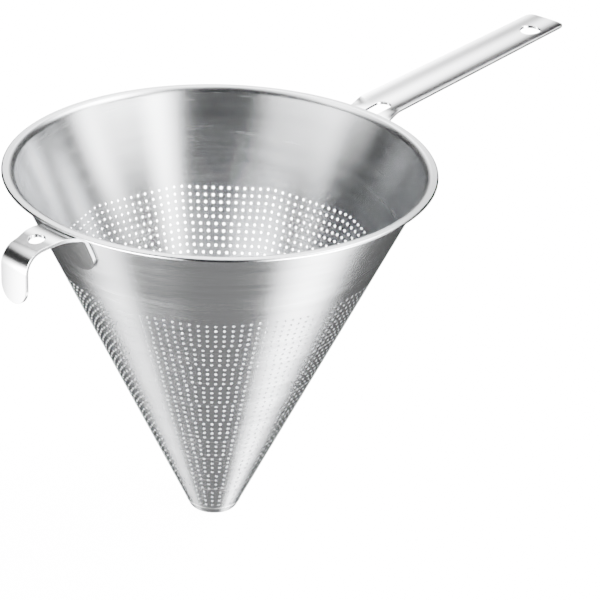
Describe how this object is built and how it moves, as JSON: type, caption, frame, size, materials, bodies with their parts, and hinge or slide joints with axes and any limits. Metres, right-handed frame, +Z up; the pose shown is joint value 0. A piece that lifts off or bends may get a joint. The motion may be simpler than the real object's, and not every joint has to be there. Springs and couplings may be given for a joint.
{
  "type": "strainer",
  "caption": "Conical strainer (chinois) of stainless steel sheet, pierced in fans of fine holes, with a troughed strip handle and a pan hook opposite it.",
  "frame": {"origin": "centre of the mouth, in the plane of the rim's highest line", "axes": "+Z up along the cone's axis, the tip points down along -Z; +X along the handle, -X towards the pan hook"},
  "size_m": [0.372, 0.2, 0.191],
  "materials": {
    "brushed_sheet": "brushed round the cone",
    "polished_strip": "polished",
    "weld": "ground"
  },
  "bodies": {
    "root": {"perforated_cone": "brushed_sheet", "seam_weld": "weld", "tip_cap": "brushed_sheet", "tip_weld": "weld", "handle": "polished_strip", "pan_hook": "polished_strip", "handle_weld_spots": "weld", "hook_weld_spots": "weld"}
  },
  "joints": []
}
